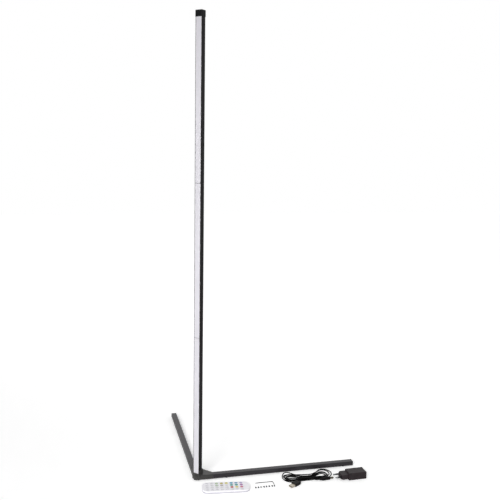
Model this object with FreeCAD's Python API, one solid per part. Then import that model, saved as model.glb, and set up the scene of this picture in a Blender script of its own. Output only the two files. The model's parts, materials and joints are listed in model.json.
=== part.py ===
"""Corner floor lamp: a slim light pole on a right-angled foot, with its remote, lead and tools.

Frame: millimetres, +Z up, floor at z = 0. The origin is on the floor under the pole's axis.
One foot arm runs along +X, the other along +Y, and the diffuser faces the outer corner.
"""
import FreeCAD, Part
import math
import os

V = FreeCAD.Vector
X_AXIS = V(1, 0, 0)
Y_AXIS = V(0, 1, 0)
Z_AXIS = V(0, 0, 1)

# ---- driving dimensions: foot
lamp_height = 1200.0
foot_pad_height = 2.5
foot_pad_dia = 10.0
foot_pad_round = 0.6
foot_stud_dia = 3.0
foot_stud_grip = 1.5
arm_width = 15.6
arm_height = 12.0
arm_wall = 1.4
arm_edge_round = 0.7
arm_length = 398.7
arm_offset = 4.2
bracket_leg = 40.8
bracket_corner_radius = 8.0
bracket_edge_bevel = 2.6
bracket_top_wall = 2.4
bracket_pocket_start = 14.0
bracket_pocket_rim = 2.0
tongue_length = 24.0
tongue_root = 4.0
tongue_bevel = 0.8
arm_foot_near = 78.0
arm_foot_inset = 26.0
end_cap_flange = 2.2
end_cap_plug = 9.0
end_cap_round = 1.0
end_cap_wall = 1.5

# ---- driving dimensions: pole
profile_width = 18.2
profile_depth = 15.0
profile_wall = 1.1
profile_back_wall = 1.2
profile_edge_round = 0.8
strip_bed_thickness = 1.2
rear_chamber_depth = 3.9
lower_section_length = 389.5
middle_section_length = 396.5
section_gap = 0.3
socket_floor = 2.0
socket_front_height = 5.2
socket_side_height = 14.5
socket_wall = 1.6
socket_boss_wall = 2.0
diffuser_thickness = 1.4
diffuser_leg = 4.0
diffuser_leg_thickness = 0.9
diffuser_end_inset = 0.35
snap_depth = 0.4
snap_width = 0.9
snap_play = 0.1
strip_width = 12.0
strip_thickness = 0.4
led_size = 5.0
led_height = 1.5
led_pitch = 32.0
strip_end_gap = 1.0
joiner_length = 60.0
joiner_thickness = 3.4
cap_overhang = 0.9
cap_plug_length = 12.0
cap_height = 15.4
cap_edge_round = 1.6
cap_top_round = 1.2
cap_front_tongue_length = 4.0
cap_front_tongue = 2.5

# ---- driving dimensions: screws and sockets
screw_dia = 3.0
screw_length = 5.0
screw_bevel = 0.3
screw_recess = 0.3
hex_size = 1.5
hex_depth = 2.25
inlet_width = 9.0
inlet_height = 8.6
inlet_length = 12.0
inlet_bore = 6.0
inlet_wall = 0.6
inlet_mouth_length = 2.0
inlet_end_wall = 1.5
inlet_pin_dia = 2.0
receiver_length = 46.0
receiver_width = 12.0
receiver_board_thickness = 1.0
receiver_start = 60.0
eye_dia = 3.6

# ---- driving dimensions: remote handset
remote_length = 126.0
remote_head_width = 50.5
remote_tail_width = 46.5
remote_corner_radius = 15.0
remote_end_bulge = 5.0
remote_thickness = 7.4
remote_split = 3.7
remote_base_round = 1.0
remote_top_round = 0.9
remote_inner_fit = 0.4
remote_wall = 1.5
remote_floor = 1.2
remote_angle = -6.7
remote_centre = V(63.0, -69.5, 0)
key_rows = 8
key_columns = 4
key_row_pitch = 12.9
key_column_pitch = 11.2
key_dia = 8.4
key_round = 0.3
key_proud = 0.4
key_travel = 0.45
key_lip = 0.3
key_lip_height = 0.25
key_head_margin = 13.8
mat_bottom = 5.1
mat_thickness = 0.3
control_board_thickness = 0.8
tray_width = 24.0
tray_length = 25.0
tray_height = 2.9
cell_dia = 20.0
cell_height = 2.4
tray_skin = 0.45
tray_rail = 1.0
tray_grip_depth = 0.8
tray_grip_width = 5.0
cell_end_wall = 2.2
cell_bevel = 0.3

# ---- driving dimensions: power adapter
adapter_length = 51.0
adapter_width = 32.0
adapter_height = 20.0
adapter_wall = 1.6
adapter_rounding = 1.6
adapter_origin = V(397.8, -76.9, 0)
adapter_angle = 2.0
neck_length = 21.5
neck_corner = 4.0
neck_round = 1.2
neck_width = 26.0
neck_height = 13.0
pin_spacing = 18.6
pin_dia = 4.0
pin_reach = 16.0
pin_seat = 10.0
pin_tip_round = 1.6
usb_socket_width = 13.2
usb_socket_height = 5.8
usb_socket_depth = 14.0

# ---- driving dimensions: lead
lead_dia = 2.7
hank_centre = V(288.0, -57.0, 0)
hank_angle = -7.5
hank_half_turns = 10
hank_step = 4.2
hank_layer = 3.3
hank_climbs = (5.1, 8.9)
top_strand_tuck = 2.4
lobe_station = 41.0
right_loop_near = (-6.1, -1.9, 2.3, 1.4, -2.8)
right_loop_far = (42.2, 27.7, 21.5, 25.6, 34.7)
right_loop_end = (74.8, 61.9, 55.7, 58.5, 67.0)
right_loop_crest = (27.0, 14.1, 11.9, 13.8, 19.6)
left_loop_near = (-19.6, -13.2, -13.0, -17.4, -12.0)
left_loop_far = (33.5, 10.6, 9.0, 15.0, 9.5)
left_loop_end = (-64.0, -56.8, -55.8, -59.8, -62.5)
usb_plug_width = 15.6
usb_plug_height = 8.0
usb_plug_length = 23.0
usb_shell_width = 12.0
usb_shell_height = 4.5
usb_shell_length = 12.0
usb_shell_wall = 0.35
usb_shell_seat = 6.0
usb_window = 2.3
usb_window_offset = 2.9
usb_window_end = 5.2
usb_plug_round = 1.4
usb_relief_dia = 4.6
usb_relief_length = 5.0
barrel_dia = 9.0
barrel_length = 22.0
barrel_relief_dia = 4.4
barrel_relief_length = 8.0
barrel_tip_dia = 5.5
barrel_tip_bore = 2.1
barrel_tip_length = 9.5
barrel_tip_seat = 5.0
barrel_round = 1.0
usb_angle = -146.0
usb_back = V(260.0, -79.6, usb_plug_height / 2)
barrel_angle = 4.0
barrel_back = V(327.5, -76.8, barrel_dia / 2)
join_heading = 16.0
join_place = V(-7.0, -13.2, 0)

# ---- driving dimensions: tools on the floor
hex_key_long = 48.0
hex_key_short = 16.5
hex_key_corner = V(193.8, -56.2, 0)
hex_key_bend = 3.5
spare_screw_count = 8
spare_screw_start = V(140.8, -81.4, 0)
spare_screw_pitch = 7.4

# ---- clearances
slide_fit = 0.1
press_gap = 0.05
key_gap = 0.25
touch_gap = 0.05
cut_over = 1.0
tray_fit = 0.1

# ---- levels and places that follow
arm_bottom = foot_pad_height
arm_top = arm_bottom + arm_height
socket_bottom = arm_bottom + socket_floor
front_lip_top = arm_top + socket_front_height
side_lip_top = arm_top + socket_side_height
lower_top = socket_bottom + lower_section_length
middle_bottom = lower_top + section_gap
middle_top = middle_bottom + middle_section_length
upper_bottom = middle_top + section_gap
upper_top = lamp_height - cap_height
section_spans = {
    "lower": (socket_bottom, lower_top),
    "middle": (middle_bottom, middle_top),
    "upper": (upper_bottom, upper_top),
}
profile_front = -profile_depth / 2
profile_back = profile_depth / 2
chamber_back = profile_back - profile_back_wall
chamber_front = chamber_back - rear_chamber_depth
bed_front = chamber_front - strip_bed_thickness
channel_half = profile_width / 2 - profile_wall
leg_back = profile_front + diffuser_thickness + diffuser_leg
receiver_eye_height = receiver_start + receiver_length * 0.8
screw_radius = screw_dia / 2
tray_bottom = remote_floor + tray_fit
arm_end = bracket_leg + arm_length
inlet_bottom = arm_bottom + inlet_wall


def box(x0, x1, y0, y1, z0, z1):
    """A block between two corners."""
    return Part.makeBox(x1 - x0, y1 - y0, z1 - z0, V(x0, y0, z0))


def rod(radius, length, start, direction=Z_AXIS):
    """A round bar from its start along a direction."""
    return Part.makeCylinder(radius, length, start, direction)


def polygon(points, z0, z1):
    """A prism over a closed outline of (x, y) points."""
    wire = Part.makePolygon([V(x, y, z0) for x, y in points + points[:1]])
    return Part.Face(wire).extrude(V(0, 0, z1 - z0))


def turned(shape, angle, place=V(0, 0, 0)):
    """A copy turned about the upright through the origin, then moved."""
    copy = shape.copy()
    copy.rotate(V(0, 0, 0), Z_AXIS, angle)
    copy.translate(place)
    return copy


def swap_arms(shape):
    """The same piece for the other arm: mirrored across the diagonal plane x = y."""
    return shape.mirror(V(0, 0, 0), V(1, -1, 0))


def upright_edges(shape, test=lambda p: True):
    """Straight edges along Z whose place passes a test."""
    found = []
    for edge in shape.Edges:
        ends = [v.Point for v in edge.Vertexes]
        if len(ends) == 2 and abs(ends[0].x - ends[1].x) < 1e-6 and abs(ends[0].y - ends[1].y) < 1e-6:
            if test(ends[0]):
                found.append(edge)
    return found


def rounded_block(x0, x1, y0, y1, z0, z1, radius):
    """A block with rounded upright edges."""
    body = box(x0, x1, y0, y1, z0, z1)
    return body.makeFillet(radius, upright_edges(body))


def hex_prism(across_flats, length, start, direction):
    """A six-sided bar along a direction."""
    corner = across_flats / math.sqrt(3)
    points = [V(corner * math.cos(math.radians(60 * k)), corner * math.sin(math.radians(60 * k)), 0)
              for k in range(7)]
    body = Part.Face(Part.makePolygon(points)).extrude(V(0, 0, length))
    body.Placement = FreeCAD.Placement(start, FreeCAD.Rotation(Z_AXIS, direction))
    return body


def grub_screw(start, direction):
    """A set screw: its open hex end is at the start and it points along the direction."""
    body = rod(screw_radius, screw_length, V(0, 0, 0))
    body = body.makeChamfer(screw_bevel, [e for e in body.Edges if len(e.Vertexes) == 1])
    body = body.cut(hex_prism(hex_size, hex_depth + cut_over, V(0, 0, -cut_over), Z_AXIS))
    body.Placement = FreeCAD.Placement(start, FreeCAD.Rotation(Z_AXIS, direction))
    return body


def on_pole(shape):
    """Pole pieces are drawn with the diffuser facing -Y and then turned to face the corner."""
    return turned(shape, -45)


# ---- foot

def arm_places():
    """Distances along an arm from the pole's axis to its two pads."""
    return [arm_foot_near, arm_end - arm_foot_inset]


def arm_screw_places():
    """Distances along an arm to the two screws that hold it on the bracket's tongue."""
    return [bracket_leg + tongue_length * 0.3, bracket_leg + tongue_length * 0.75]


def make_right_arm():
    """A box tube that slides over the bracket's tongue."""
    half = arm_width / 2
    y0 = -arm_offset - half
    tube = box(bracket_leg, arm_end, y0, y0 + arm_width, arm_bottom, arm_top)
    long_edges = [e for e in tube.Edges if abs(e.Length - arm_length) < 1e-6]
    tube = tube.makeFillet(arm_edge_round, long_edges)
    tube = tube.cut(box(bracket_leg - cut_over, arm_end + cut_over, y0 + arm_wall, y0 + arm_width - arm_wall,
                        arm_bottom + arm_wall, arm_top - arm_wall))
    for x in arm_places():
        tube = tube.cut(rod(foot_stud_dia / 2 + press_gap, arm_wall + 2 * cut_over,
                            V(x, -arm_offset, arm_bottom - cut_over)))
    for x in arm_screw_places():
        tube = tube.cut(rod(screw_radius + slide_fit, arm_wall + 2 * cut_over,
                            V(x, -arm_offset, arm_bottom - cut_over)))
    return tube


def make_end_cap():
    """A moulded plug that closes the far end of an arm."""
    half = arm_width / 2
    inner = half - arm_wall - slide_fit
    flange = box(arm_end, arm_end + end_cap_flange, -arm_offset - half, -arm_offset + half,
                 arm_bottom, arm_top)
    outer = [e for e in flange.Edges if all(v.Point.x > arm_end + end_cap_flange / 2 for v in e.Vertexes)]
    flange = flange.makeFillet(end_cap_round, outer)
    plug = box(arm_end - end_cap_plug, arm_end, -arm_offset - inner, -arm_offset + inner,
               arm_bottom + arm_wall + slide_fit, arm_top - arm_wall - slide_fit)
    hollow = box(arm_end - end_cap_plug - cut_over, arm_end - end_cap_wall, -arm_offset - inner + end_cap_wall,
                 -arm_offset + inner - end_cap_wall, arm_bottom + arm_wall + slide_fit + end_cap_wall,
                 arm_top - arm_wall - slide_fit - end_cap_wall)
    return flange.fuse(plug).cut(hollow).removeSplitter()


def make_foot_pad(x, y, stud_height):
    """A rubber pad with a stud pushed up into its hole."""
    pad = rod(foot_pad_dia / 2, foot_pad_height, V(x, y, 0))
    pad = pad.makeFillet(foot_pad_round, [e for e in pad.Edges if len(e.Vertexes) == 1 and e.Vertexes[0].Z < 0.1])
    return pad.fuse(rod(foot_stud_dia / 2, stud_height, V(x, y, foot_pad_height))).removeSplitter()


def make_foot_pads():
    """Two pads under each arm and one under the pole."""
    pads = [make_foot_pad(x, -arm_offset, arm_wall + foot_stud_grip) for x in arm_places()]
    pads += [swap_arms(pad) for pad in pads]
    pads.append(make_foot_pad(0, 0, socket_floor - 2 * slide_fit))
    return Part.makeCompound(pads)


def socket_block(grow, z0, z1, front=None):
    """The socket round the profile, in pole coordinates, grown outwards by a wall."""
    half = profile_width / 2 + slide_fit + grow
    y0 = profile_front - slide_fit - grow if front is None else front
    return box(-half, half, y0, profile_back + slide_fit + grow, z0, z1)


def make_corner_bracket():
    """The cast corner: two legs, a web, the pole's socket and a tongue for each arm."""
    half = arm_width / 2
    outer = -arm_offset - half
    inner = -arm_offset + half
    body = polygon([(outer, outer), (bracket_leg, outer), (bracket_leg, inner),
                    (inner, bracket_leg), (outer, bracket_leg)], arm_bottom, arm_top)
    body = body.makeFillet(bracket_corner_radius,
                           upright_edges(body, lambda p: p.x < outer + 1 and p.y < outer + 1))
    rim_reach = bracket_corner_radius + 0.5
    top_rim = [e for e in body.Edges
               if all(abs(v.Point.z - arm_top) < 1e-6 for v in e.Vertexes)
               and (all(abs(v.Point.x - outer) < rim_reach for v in e.Vertexes)
                    or all(abs(v.Point.y - outer) < rim_reach for v in e.Vertexes))]
    body = body.makeChamfer(bracket_edge_bevel, top_rim)
    pocket_far = bracket_leg - arm_wall * 2
    rim = inner - bracket_pocket_rim
    pocket = polygon([(bracket_pocket_start, rim), (pocket_far, rim), (rim, pocket_far),
                      (rim, bracket_pocket_start)], arm_bottom - cut_over, arm_top - bracket_top_wall)
    body = body.cut(pocket)
    collar = on_pole(socket_block(socket_wall, arm_bottom, side_lip_top)
                     .cut(socket_block(socket_wall + cut_over, front_lip_top, side_lip_top + cut_over)
                          .common(box(-profile_width, profile_width, -profile_width,
                                      profile_front + socket_wall, 0, 2 * side_lip_top))))
    boss_length = screw_length
    boss = on_pole(rod(screw_radius + socket_boss_wall, boss_length, V(0, profile_back + slide_fit, socket_screw_height()),
                       Y_AXIS))
    body = body.fuse([collar, boss])
    bore = on_pole(socket_block(0, socket_bottom, side_lip_top + cut_over))
    body = body.cut(bore)
    body = body.cut(on_pole(rod(screw_radius, boss_length + 2 * cut_over,
                                V(0, profile_back, socket_screw_height()), Y_AXIS)))
    body = body.cut(rod(foot_stud_dia / 2 + press_gap, socket_floor + 2 * cut_over,
                        V(0, 0, arm_bottom - cut_over)))
    body = body.cut(turned(inlet_body(slide_fit, bracket_leg), 45))
    inset = arm_wall + slide_fit
    tongue = box(bracket_leg - tongue_root, bracket_leg + tongue_length, outer + inset, inner - inset,
                 arm_bottom + inset, arm_top - inset)
    end_edges = [e for e in tongue.Edges if all(v.Point.x > bracket_leg + 1 for v in e.Vertexes)]
    tongue = tongue.makeChamfer(tongue_bevel, end_edges)
    for x in arm_screw_places():
        tongue = tongue.cut(rod(screw_radius, arm_height, V(x, -arm_offset, arm_bottom - arm_height / 2)))
    body = body.fuse([tongue, swap_arms(tongue)])
    return body.removeSplitter()


def socket_screw_height():
    """The height of the one screw that clamps the pole in its socket."""
    return arm_top + socket_side_height / 2


# ---- pole

def make_section(name):
    """One length of extruded pole: a front channel for the light and a rear chamber."""
    z0, z1 = section_spans[name]
    half = profile_width / 2
    body = box(-half, half, profile_front, profile_back, z0, z1)
    body = body.makeFillet(profile_edge_round, upright_edges(body, lambda p: p.y > 0))
    low, high = z0 - cut_over, z1 + cut_over
    body = body.cut(box(-channel_half, channel_half, profile_front - cut_over, bed_front, low, high))
    body = body.cut(box(-channel_half, channel_half, chamber_front, chamber_back, low, high))
    groove_y = leg_back - snap_width - snap_play
    for side in (-1, 1):
        x0 = side * channel_half
        x1 = side * (channel_half + snap_depth)
        body = body.cut(box(min(x0, x1), max(x0, x1), groove_y, leg_back + snap_play, low, high))
    for z in joiner_screw_heights():
        if z0 < z < z1:
            body = body.cut(rod(screw_radius + slide_fit, profile_back_wall + 2 * cut_over,
                                V(0, chamber_back - cut_over, z), Y_AXIS))
    if name == "lower":
        body = body.cut(rod(eye_dia / 2 + slide_fit, profile_back_wall + 2 * cut_over,
                            V(0, chamber_back - cut_over, receiver_eye_height), Y_AXIS))
    return on_pole(body)


def make_diffuser(name):
    """An opal snap-in cover: a face and two hooked legs."""
    z0, z1 = section_spans[name]
    face_half = channel_half - slide_fit
    hook = snap_depth - slide_fit
    leg_inner = face_half - diffuser_leg_thickness
    outline = [(-face_half, profile_front), (face_half, profile_front),
               (face_half, leg_back - snap_width), (face_half + hook, leg_back - snap_width),
               (face_half, leg_back), (leg_inner, leg_back),
               (leg_inner, profile_front + diffuser_thickness)]
    mirrored = [(-x, y) for x, y in reversed(outline[1:])]
    return on_pole(polygon(outline[1:] + mirrored, z0 + diffuser_end_inset, z1 - diffuser_end_inset))


def led_heights(z0, z1):
    """Heights of the lamps on a strip, centred in its section."""
    count = int((z1 - z0) / led_pitch)
    first = (z0 + z1) / 2 - led_pitch * (count - 1) / 2
    return [first + led_pitch * k for k in range(count)]


def make_strips():
    """A light strip in each section with its lamp packages."""
    pieces = []
    for z0, z1 in section_spans.values():
        tape = box(-strip_width / 2, strip_width / 2, bed_front - strip_thickness, bed_front,
                   z0 + strip_end_gap, z1 - strip_end_gap)
        pieces.append(tape)
        face = bed_front - strip_thickness
        for z in led_heights(z0, z1):
            lamp = box(-led_size / 2, led_size / 2, face - led_height, face,
                       z - led_size / 2, z + led_size / 2)
            dish = Part.makeCone(led_size * 0.42, led_size * 0.3, led_height * 0.4,
                                 V(0, face - led_height, z), Y_AXIS)
            pieces.append(lamp.cut(dish))
    return on_pole(Part.makeCompound(pieces))


def joiner_screw_heights():
    """Heights of the four screws of each joiner plate."""
    heights = []
    for seam in (lower_top + section_gap / 2, middle_top + section_gap / 2):
        for share in (-0.38, -0.16, 0.16, 0.38):
            heights.append(seam + joiner_length * share)
    return heights


def make_joiners():
    """Steel plates that slide in the rear chamber across each seam."""
    plates = []
    half = channel_half - slide_fit
    for seam in (lower_top + section_gap / 2, middle_top + section_gap / 2):
        plate = box(-half, half, chamber_back - joiner_thickness, chamber_back,
                    seam - joiner_length / 2, seam + joiner_length / 2)
        for z in joiner_screw_heights():
            if abs(z - seam) < joiner_length / 2:
                plate = plate.cut(rod(screw_radius, joiner_thickness + 2 * cut_over,
                                      V(0, chamber_back - joiner_thickness - cut_over, z), Y_AXIS))
        plates.append(plate)
    return on_pole(Part.makeCompound(plates))


def make_top_cap():
    """The cap: a crowned block with a tongue that plugs the rear chamber."""
    half = profile_width / 2 + cap_overhang
    y0 = profile_front - cap_overhang
    y1 = profile_back + cap_overhang
    block = rounded_block(-half, half, y0, y1, upper_top, lamp_height, cap_edge_round)
    block = block.makeFillet(cap_top_round, [e for e in block.Edges
                                   if all(abs(v.Point.z - lamp_height) < 1e-6 for v in e.Vertexes)])
    inner = channel_half - slide_fit
    tongue = box(-inner, inner, chamber_front + slide_fit, chamber_back - slide_fit,
                 upper_top - cap_plug_length, upper_top + cut_over)
    front = profile_front + diffuser_thickness + slide_fit
    front_half = inner - diffuser_leg_thickness - 2 * slide_fit
    front_tongue = box(-front_half, front_half, front, front + cap_front_tongue,
                       upper_top - cap_front_tongue_length, upper_top + cut_over)
    return on_pole(block.fuse([tongue, front_tongue]).removeSplitter())


def make_grub_screws():
    """Set screws: four per joiner, two per arm and one in the pole's socket."""
    outer_end = chamber_front + touch_gap + screw_length
    screws = [on_pole(grub_screw(V(0, outer_end, z), V(0, -1, 0))) for z in joiner_screw_heights()]
    under = [grub_screw(V(x, -arm_offset, arm_bottom + screw_recess), Z_AXIS) for x in arm_screw_places()]
    screws += under + [swap_arms(screw) for screw in under]
    clamp_end = profile_back + touch_gap + screw_length
    screws.append(on_pole(grub_screw(V(0, clamp_end, socket_screw_height()), V(0, -1, 0))))
    return Part.makeCompound(screws)


def inlet_face():
    """Distance along the web's diagonal from the pole's axis to the web's outer face."""
    inner = -arm_offset + arm_width / 2
    return (bracket_leg + inner) / math.sqrt(2)


def inlet_body(grow, extra):
    """The power inlet's block along the diagonal, drawn along +X before it is turned."""
    end = inlet_face() - inlet_mouth_length
    half = inlet_width / 2 + grow
    block = box(end - inlet_length, end, -half, half, inlet_bottom - grow, inlet_bottom + inlet_height + grow)
    mouth = rod(inlet_bore / 2 + inlet_wall + grow, inlet_mouth_length + extra,
                V(end, 0, inlet_bottom + inlet_height / 2), X_AXIS)
    return block.fuse(mouth)


def make_power_inlet():
    """The socket for the lead's barrel plug, held in the web behind the pole."""
    axis_z = inlet_bottom + inlet_height / 2
    end = inlet_face()
    body = inlet_body(0, 0)
    bore_depth = barrel_tip_length + 0.5
    body = body.cut(rod(inlet_bore / 2, bore_depth, V(end - bore_depth, 0, axis_z), X_AXIS))
    pin = rod(inlet_pin_dia / 2, bore_depth - inlet_end_wall, V(end - bore_depth, 0, axis_z), X_AXIS)
    return turned(body.fuse(pin).removeSplitter(), 45)


def make_receiver_board():
    """The remote receiver in the rear chamber, its eye at a hole in the back."""
    half = receiver_width / 2
    y0 = chamber_front + 0.3
    board = box(-half, half, y0, y0 + receiver_board_thickness,
                receiver_start, receiver_start + receiver_length)
    face = y0 + receiver_board_thickness
    chip = box(-2.5, 2.5, face, face + 1.2, receiver_start + 10, receiver_start + 16)
    plug = box(-4, 4, face, face + 2.0, receiver_start + 1, receiver_start + 6)
    eye = rod(eye_dia / 2, profile_back - 0.3 - face, V(0, face, receiver_eye_height), Y_AXIS)
    base = box(-3.2, 3.2, face, face + 1.6, receiver_eye_height - 3.2, receiver_eye_height + 3.2)
    return on_pole(board.fuse([chip, plug, base, eye]).removeSplitter())


# ---- remote handset: drawn along X with its head at -X, then laid on the floor

def remote_outline(grow):
    """The handset's tapered outline with bowed ends and rounded corners, grown outwards."""
    tip = remote_length / 2 + grow
    corner = tip - remote_end_bulge
    head = remote_head_width / 2 + grow
    tail = remote_tail_width / 2 + grow
    rim = Part.Wire([Part.LineSegment(V(-corner, -head, 0), V(corner, -tail, 0)).toShape(),
                     Part.Arc(V(corner, -tail, 0), V(tip, 0, 0), V(corner, tail, 0)).toShape(),
                     Part.LineSegment(V(corner, tail, 0), V(-corner, head, 0)).toShape(),
                     Part.Arc(V(-corner, head, 0), V(-tip, 0, 0), V(-corner, -head, 0)).toShape()])
    body = Part.Face(rim).extrude(V(0, 0, remote_thickness))
    return body.makeFillet(remote_corner_radius + grow, upright_edges(body))


def remote_slice(grow, z0, z1):
    """A layer of the handset between two heights."""
    return remote_outline(grow).common(box(-200, 200, -200, 200, z0, z1))


def laid(shape):
    """Puts a handset piece where the handset lies."""
    return turned(shape, remote_angle, remote_centre)


def key_centre(row, column):
    """A key's place on the handset; rows count from the head, columns from the near side."""
    x = -remote_length / 2 + key_head_margin + row * key_row_pitch
    y = (column - (key_columns - 1) / 2) * key_column_pitch
    return V(x, y, 0)


def tray_box(grow, z_grow, extra):
    """The slot of the battery tray at the tail end."""
    end = remote_length / 2
    return box(end - tray_length - grow, end + extra, -tray_width / 2 - grow, tray_width / 2 + grow,
               tray_bottom - z_grow, tray_bottom + tray_height + z_grow)


def make_remote_base():
    """The lower shell with the battery slot."""
    shell = remote_slice(0, 0, remote_split)
    rim = [e for e in shell.Edges if all(v.Point.z < 1e-6 for v in e.Vertexes)]
    shell = shell.makeFillet(remote_base_round, rim)
    shell = shell.cut(remote_slice(-remote_wall, remote_floor, remote_split + cut_over))
    shell = shell.cut(tray_box(slide_fit, 0.0, 2 * remote_wall))
    for y in (-tray_width / 2 - remote_inner_fit - tray_rail, tray_width / 2 + remote_inner_fit):
        shell = shell.fuse(box(remote_length / 2 - tray_length, remote_length / 2 - remote_wall,
                               y, y + tray_rail, remote_floor, remote_split))
    shell = shell.common(remote_slice(0, 0, remote_split))
    return laid(shell.removeSplitter())


def make_remote_cover():
    """The upper shell with a hole for each key."""
    shell = remote_slice(0, remote_split, remote_thickness)
    top = [e for e in shell.Edges if all(v.Point.z > remote_thickness - 1e-6 for v in e.Vertexes)]
    shell = shell.makeFillet(remote_top_round, top)
    shell = shell.cut(remote_slice(-remote_wall, remote_split - cut_over, remote_thickness - remote_floor))
    holes = [rod(key_dia / 2 + key_gap, remote_thickness, key_centre(r, c))
             for r in range(key_rows) for c in range(key_columns)]
    shell = shell.cut(Part.makeCompound(holes))
    shell = shell.cut(tray_box(slide_fit, slide_fit, 2 * remote_wall))
    return laid(shell.removeSplitter())


def make_key_mat():
    """The rubber dome sheet under the keys."""
    return laid(remote_slice(-remote_wall - remote_inner_fit, mat_bottom, mat_bottom + mat_thickness))


def make_control_board():
    """The handset's board, with its sender lamp at the head end."""
    under = mat_bottom - control_board_thickness
    board = remote_slice(-remote_wall - remote_inner_fit, under, mat_bottom)
    chip = box(18, 26, -4, 4, under - 1.6, under)
    return laid(board.fuse(chip).removeSplitter())


def make_key(row, column):
    """One round flat key with a lip that keeps it behind the cover."""
    top = remote_thickness + key_proud
    bottom = mat_bottom + mat_thickness + key_travel + touch_gap
    place = key_centre(row, column)
    stem = rod(key_dia / 2, top - bottom, place + V(0, 0, bottom))
    stem = stem.makeFillet(key_round, [e for e in stem.Edges
                                 if len(e.Vertexes) == 1 and e.Vertexes[0].Z > top - 0.01])
    lip = rod(key_dia / 2 + key_gap + key_lip, key_lip_height, place + V(0, 0, bottom))
    return laid(stem.fuse(lip).removeSplitter())


def make_battery_tray():
    """The pull-out tray and the coin cell that it holds."""
    end = remote_length / 2
    z0 = tray_bottom
    tray = box(end - tray_length, end, -tray_width / 2, tray_width / 2, z0, z0 + tray_height)
    for side in (-1, 1):
        notch = box(end - tray_grip_depth, end + cut_over, tray_width / 2 - tray_grip_width,
                    tray_width / 2 + cut_over, z0 - cut_over, z0 + tray_height + cut_over)
        tray = tray.cut(notch if side > 0 else notch.mirror(V(0, 0, 0), Y_AXIS))
    tray = tray.common(remote_outline(0))
    centre = V(end - tray_length + cell_end_wall + cell_dia / 2, 0, z0 + tray_skin)
    tray = tray.cut(rod(cell_dia / 2 + slide_fit, tray_height, centre))
    cell = rod(cell_dia / 2, cell_height, centre)
    cell = cell.makeChamfer(cell_bevel, [e for e in cell.Edges if len(e.Vertexes) == 1])
    return laid(Part.makeCompound([tray, cell]))


# ---- power adapter: drawn along X with its pins at -X

def placed_adapter(shape):
    """Puts an adapter piece where the adapter lies."""
    return turned(shape, adapter_angle, adapter_origin)


def make_adapter_case():
    """The housing with its stepped plug neck, hollow, with a window for the socket."""
    half = adapter_width / 2
    body = box(0, adapter_length, -half, half, 0, adapter_height)
    body = body.makeFillet(adapter_rounding, body.Edges)
    mid = adapter_height / 2
    side = neck_width / 2
    neck = polygon([(-neck_length, -side + neck_corner), (-neck_length + neck_corner, -side),
                    (1, -side), (1, side), (-neck_length + neck_corner, side),
                    (-neck_length, side - neck_corner)], mid - neck_height / 2, mid + neck_height / 2)
    neck = neck.makeFillet(neck_round, [e for e in neck.Edges if all(v.Point.x < 0.5 for v in e.Vertexes)])
    body = body.fuse(neck)
    wall = adapter_wall
    body = body.cut(box(wall + 1, adapter_length - wall, -half + wall, half - wall,
                        wall, adapter_height - wall))
    body = body.cut(box(adapter_length - wall - 1, adapter_length + 1,
                        -usb_socket_width / 2 - slide_fit, usb_socket_width / 2 + slide_fit,
                        mid - usb_socket_height / 2 - slide_fit, mid + usb_socket_height / 2 + slide_fit))
    for side in (-1, 1):
        body = body.cut(rod(pin_dia / 2, neck_length, V(-neck_length - 1, side * pin_spacing / 2, mid), X_AXIS))
    return placed_adapter(body.removeSplitter())


def make_adapter_pins():
    """Two round mains pins, part sleeved, seated in the neck."""
    mid = adapter_height / 2
    pins = []
    for side in (-1, 1):
        start = V(-neck_length - pin_reach, side * pin_spacing / 2, mid)
        pin = rod(pin_dia / 2, pin_reach + pin_seat, start, X_AXIS)
        tip = [e for e in pin.Edges if len(e.Vertexes) == 1 and e.Vertexes[0].X < start.x + 0.1]
        pins.append(pin.makeFillet(pin_tip_round, tip))
    return placed_adapter(Part.makeCompound(pins))


def make_adapter_board():
    """The board with its open socket shell and contact tongue."""
    mid = adapter_height / 2
    end = adapter_length
    shell = box(end - usb_socket_depth, end, -usb_socket_width / 2, usb_socket_width / 2,
                mid - usb_socket_height / 2, mid + usb_socket_height / 2)
    shell = shell.cut(box(end - usb_socket_depth + 1, end + 1, -usb_socket_width / 2 + 0.4,
                          usb_socket_width / 2 - 0.4, mid - usb_socket_height / 2 + 0.4,
                          mid + usb_socket_height / 2 - 0.4))
    tongue = box(end - usb_socket_depth, end - 1.5, -5.4, 5.4, mid + 0.2, mid + 2.0)
    board_top = mid - usb_socket_height / 2
    board = box(adapter_wall + 3, end - adapter_wall - 0.3, -adapter_width / 2 + adapter_wall + 0.3,
                adapter_width / 2 - adapter_wall - 0.3, board_top - 1.2, board_top)
    coil = box(14, 26, -7, 7, board_top, board_top + 9)
    can = rod(4, 8, V(10, 8, board_top))
    post = box(10, 30, -3, 3, adapter_wall, board_top - 1.2)
    return placed_adapter(shell.fuse([tongue, board, coil, can, post]).removeSplitter())


# ---- lead: one wire wound in a bow-tied hank, drawn along X about its waist

def hank_reach(h):
    """How far out of the waist's middle the strand lies after h half turns; it reverses at 5."""
    middle = hank_half_turns / 2
    return hank_step * (0.25 + abs(h - middle) / 2)


def hank_level(h):
    """Height of the strand after h half turns: it climbs a layer at two places."""
    return lead_dia / 2 + hank_layer * sum(h > climb for climb in hank_climbs)


def hank_station(h, along, across, heading):
    """One guide point of the strand with its heading in the plane."""
    return V(along, across, hank_level(h)), V(*heading, 0)


def fan_heading(run, rise):
    """The heading that lets a strand leave the waist level and reach a rise over a run with no steep part."""
    lean = math.atan2(rise, run) * 4 / 3
    return math.cos(lean), math.sin(lean)


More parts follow.
